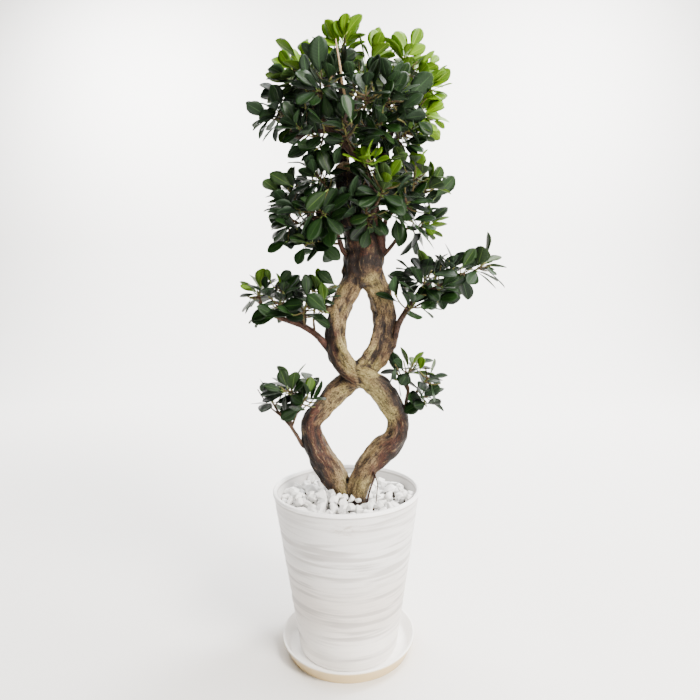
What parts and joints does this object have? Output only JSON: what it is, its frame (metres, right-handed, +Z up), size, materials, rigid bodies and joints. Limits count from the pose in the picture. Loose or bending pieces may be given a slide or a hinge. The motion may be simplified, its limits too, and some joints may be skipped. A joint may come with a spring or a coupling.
{
  "type": "potted chinese banyan",
  "caption": "Banyan with an entwined trunk that twines into open loops, tiers of glossy leafy shoots, in a ridged tapered pot with white pebbles on a round saucer.",
  "frame": {"origin": "on the pot's axis, in the plane of the saucer's underside, which rests on the table", "axes": "+Z up along the pot's axis; -Y faces the viewer of the picture; +X to the viewer's right"},
  "size_m": [0.4135, 0.2513, 0.9991],
  "materials": {
    "pot_plastic": "satin",
    "white_stone": "matte",
    "potting_soil": "matte",
    "bark": "matte",
    "leaf": "satin"
  },
  "bodies": {
    "root": {"saucer": "pot_plastic", "pot": "pot_plastic", "soil": "potting_soil", "pebbles": "white_stone", "trunk": "bark", "crown_back_a": "leaf", "crown_back_b": "leaf", "crown_back_c": "leaf", "crown_back_d": "leaf", "crown_back_e": "leaf", "crown_back_f": "leaf", "crown_front": "leaf", "crown_front_left": "leaf", "crown_front_right": "leaf", "crown_left_a": "leaf", "crown_left_b": "leaf", "crown_left_low": "leaf", "crown_left_top": "leaf", "crown_low_far_right": "leaf", "crown_low_front": "leaf", "crown_low_right": "leaf", "crown_right_a": "leaf", "crown_right_b": "leaf", "crown_top_a": "leaf", "crown_top_b": "leaf", "crown_top_c": "leaf", "left_back": "leaf", "left_far": "leaf", "left_front": "leaf", "left_mid": "leaf", "left_near": "leaf", "low_left_a": "leaf", "low_left_b": "leaf", "low_left_c": "leaf", "low_left_d": "leaf", "low_right_a": "leaf", "low_right_b": "leaf", "low_right_c": "leaf", "low_right_d": "leaf", "mid_back": "leaf", "mid_back_left": "leaf", "mid_back_right": "leaf", "mid_front": "leaf", "mid_front_low": "leaf", "mid_left_far": "leaf", "mid_left_front": "leaf", "mid_left_low": "leaf", "mid_left_top": "leaf", "mid_left_under": "leaf", "mid_right_far": "leaf", "mid_right_front": "leaf", "mid_right_low": "leaf", "mid_right_top": "leaf", "mid_top": "leaf", "right_back": "leaf", "right_far": "leaf", "right_low": "leaf", "right_mid": "leaf", "right_near": "leaf", "right_top": "leaf"}
  },
  "joints": []
}
